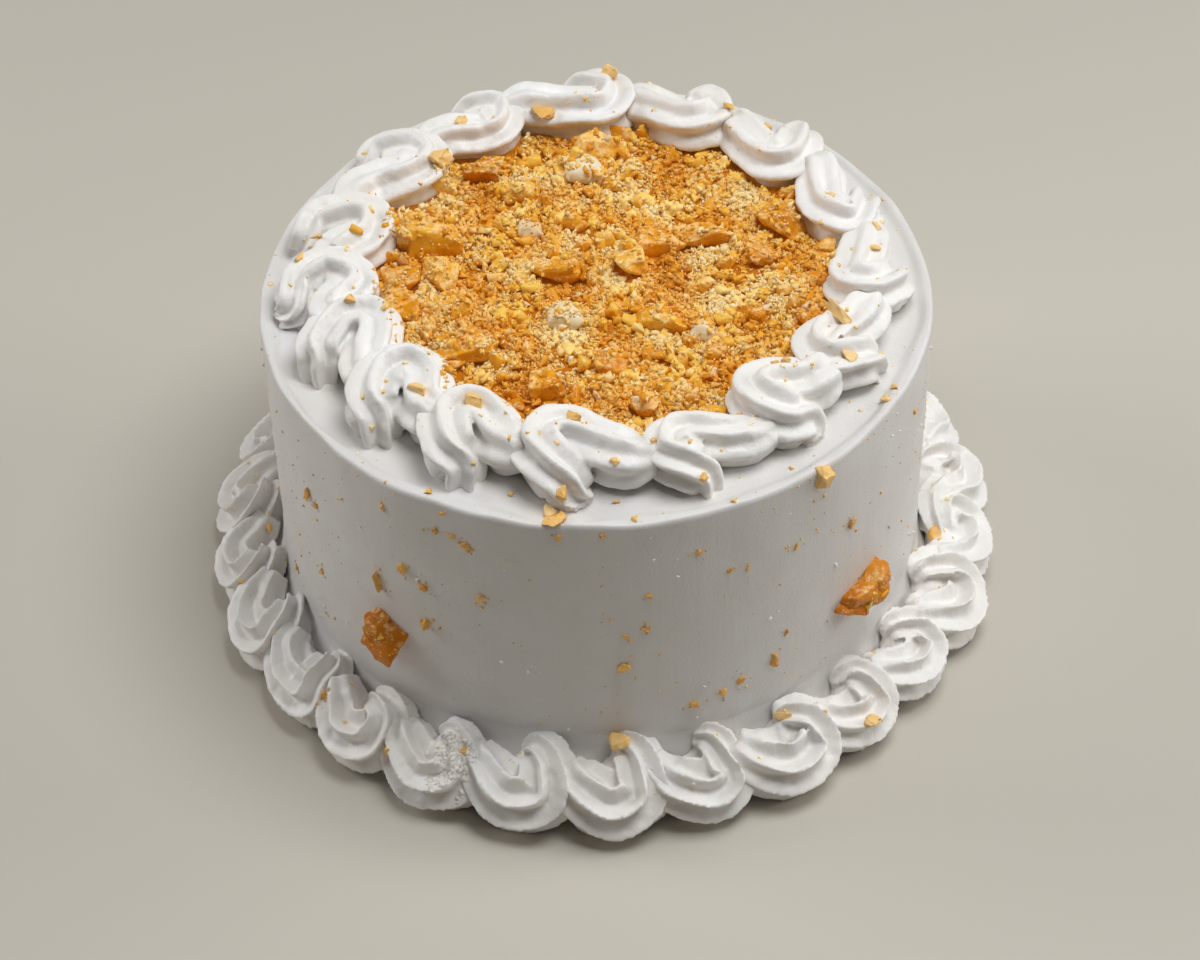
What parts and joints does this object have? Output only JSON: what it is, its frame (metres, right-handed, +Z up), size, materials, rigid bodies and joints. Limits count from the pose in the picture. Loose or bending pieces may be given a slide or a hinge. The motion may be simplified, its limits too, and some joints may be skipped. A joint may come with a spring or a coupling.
{
  "type": "butterscotch cake",
  "caption": "Round cream-coated cake with piped shell borders on its top edge and round its foot, a bed of butterscotch crunch on top and praline bits stuck to its side.",
  "frame": {"origin": "centre of the flat underside of the round cake body", "axes": "+Z up through the cake's axis; -Y is the side that faces the viewer in the picture; +X is to the viewer's right"},
  "size_m": [0.2289, 0.2293, 0.1181],
  "materials": {
    "cream_coat": "smooth whipped cream, soft sheen",
    "piped_cream": "piped whipped cream, soft sheen",
    "crunch": "sandy butterscotch crumb with glossy sugar grains",
    "praline": "glossy broken caramel"
  },
  "bodies": {
    "root": {"cake_body": "cream_coat", "crunch_topping": "crunch", "foot_shell_01": "piped_cream", "foot_shell_02": "piped_cream", "foot_shell_03": "piped_cream", "foot_shell_04": "piped_cream", "foot_shell_05": "piped_cream", "foot_shell_06": "piped_cream", "foot_shell_07": "piped_cream", "foot_shell_08": "piped_cream", "foot_shell_09": "piped_cream", "foot_shell_10": "piped_cream", "foot_shell_11": "piped_cream", "foot_shell_12": "piped_cream", "foot_shell_13": "piped_cream", "foot_shell_14": "piped_cream", "foot_shell_15": "piped_cream", "foot_shell_16": "piped_cream", "foot_shell_17": "piped_cream", "foot_shell_18": "piped_cream", "foot_shell_19": "piped_cream", "foot_shell_20": "piped_cream", "foot_shell_21": "piped_cream", "foot_shell_22": "piped_cream", "foot_shell_23": "piped_cream", "foot_shell_24": "piped_cream", "foot_shell_25": "piped_cream", "foot_shell_26": "piped_cream", "praline_chunk_left": "praline", "praline_chunk_right": "praline", "top_shell_01": "piped_cream", "top_shell_02": "piped_cream", "top_shell_03": "piped_cream", "top_shell_04": "piped_cream", "top_shell_05": "piped_cream", "top_shell_06": "piped_cream", "top_shell_07": "piped_cream", "top_shell_08": "piped_cream", "top_shell_09": "piped_cream", "top_shell_10": "piped_cream", "top_shell_11": "piped_cream", "top_shell_12": "piped_cream", "top_shell_13": "piped_cream", "top_shell_14": "piped_cream", "top_shell_15": "piped_cream", "top_shell_16": "piped_cream"}
  },
  "joints": []
}
